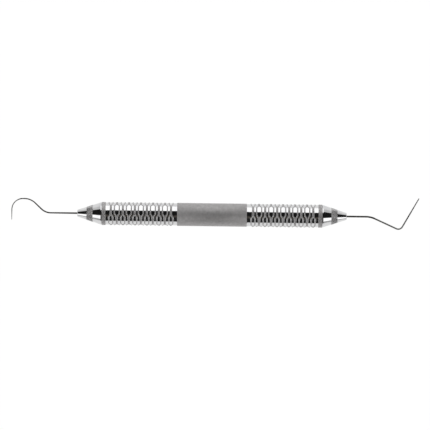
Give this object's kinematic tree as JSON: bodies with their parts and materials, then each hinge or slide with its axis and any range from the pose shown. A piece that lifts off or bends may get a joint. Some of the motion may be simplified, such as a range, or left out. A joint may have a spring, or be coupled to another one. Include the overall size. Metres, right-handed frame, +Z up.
{
  "type": "double-ended dental explorer and periodontal probe",
  "caption": "Double-ended dental hand instrument: hollow patterned grip handle, knurled screw-in cones, a hook explorer at one end and a ring-marked probe at the other.",
  "frame": {"origin": "on the handle's axis, halfway along the handle", "axes": "+X runs along the handle towards the probe, +Y points to the side that the explorer's hook rises to, +Z is up as the instrument lies with both working ends level"},
  "size_m": [0.177, 0.0138, 0.01],
  "materials": {
    "satin_steel": "blasted satin on the raised waves, collars and centre band, polished in the valleys between the waves",
    "polished_steel": "mirror polished, with a cut diamond knurl band",
    "wire_steel": "fine polished hardened wire",
    "mark_black": "matt black fill in the probe's etched rings",
    "seal_rubber": "smooth black silicone rubber"
  },
  "bodies": {
    "handle": {"handle_tube": "satin_steel", "explorer_plug": "satin_steel", "probe_plug": "satin_steel"},
    "explorer_carrier": {"explorer_seal": "seal_rubber"},
    "explorer_head": {"explorer_cone": "polished_steel", "explorer_tip": "wire_steel"},
    "probe_carrier": {"probe_seal": "seal_rubber"},
    "probe_head": {"probe_cone": "polished_steel", "probe_tip": "wire_steel"}
  },
  "joints": [
    {"name": "explorer_travel", "type": "slide", "parent": "handle", "child": "explorer_carrier", "axis": [-1, 0, 0], "range_m": [0, 0.0064]},
    {"name": "explorer_turn", "type": "hinge", "parent": "explorer_carrier", "child": "explorer_head", "pos_m": [-0.04775, 0, 0], "axis": [-1, 0, 0], "range_deg": [0, 2880]},
    {"name": "probe_travel", "type": "slide", "parent": "handle", "child": "probe_carrier", "axis": [1, 0, 0], "range_m": [0, 0.0064]},
    {"name": "probe_turn", "type": "hinge", "parent": "probe_carrier", "child": "probe_head", "pos_m": [0.04775, 0, 0], "axis": [1, 0, 0], "range_deg": [0, 2880]}
  ],
  "couplings": [
    {"joint": "explorer_turn", "follows": "explorer_travel", "rad_per_m": 7854},
    {"joint": "probe_turn", "follows": "probe_travel", "rad_per_m": 7854}
  ]
}
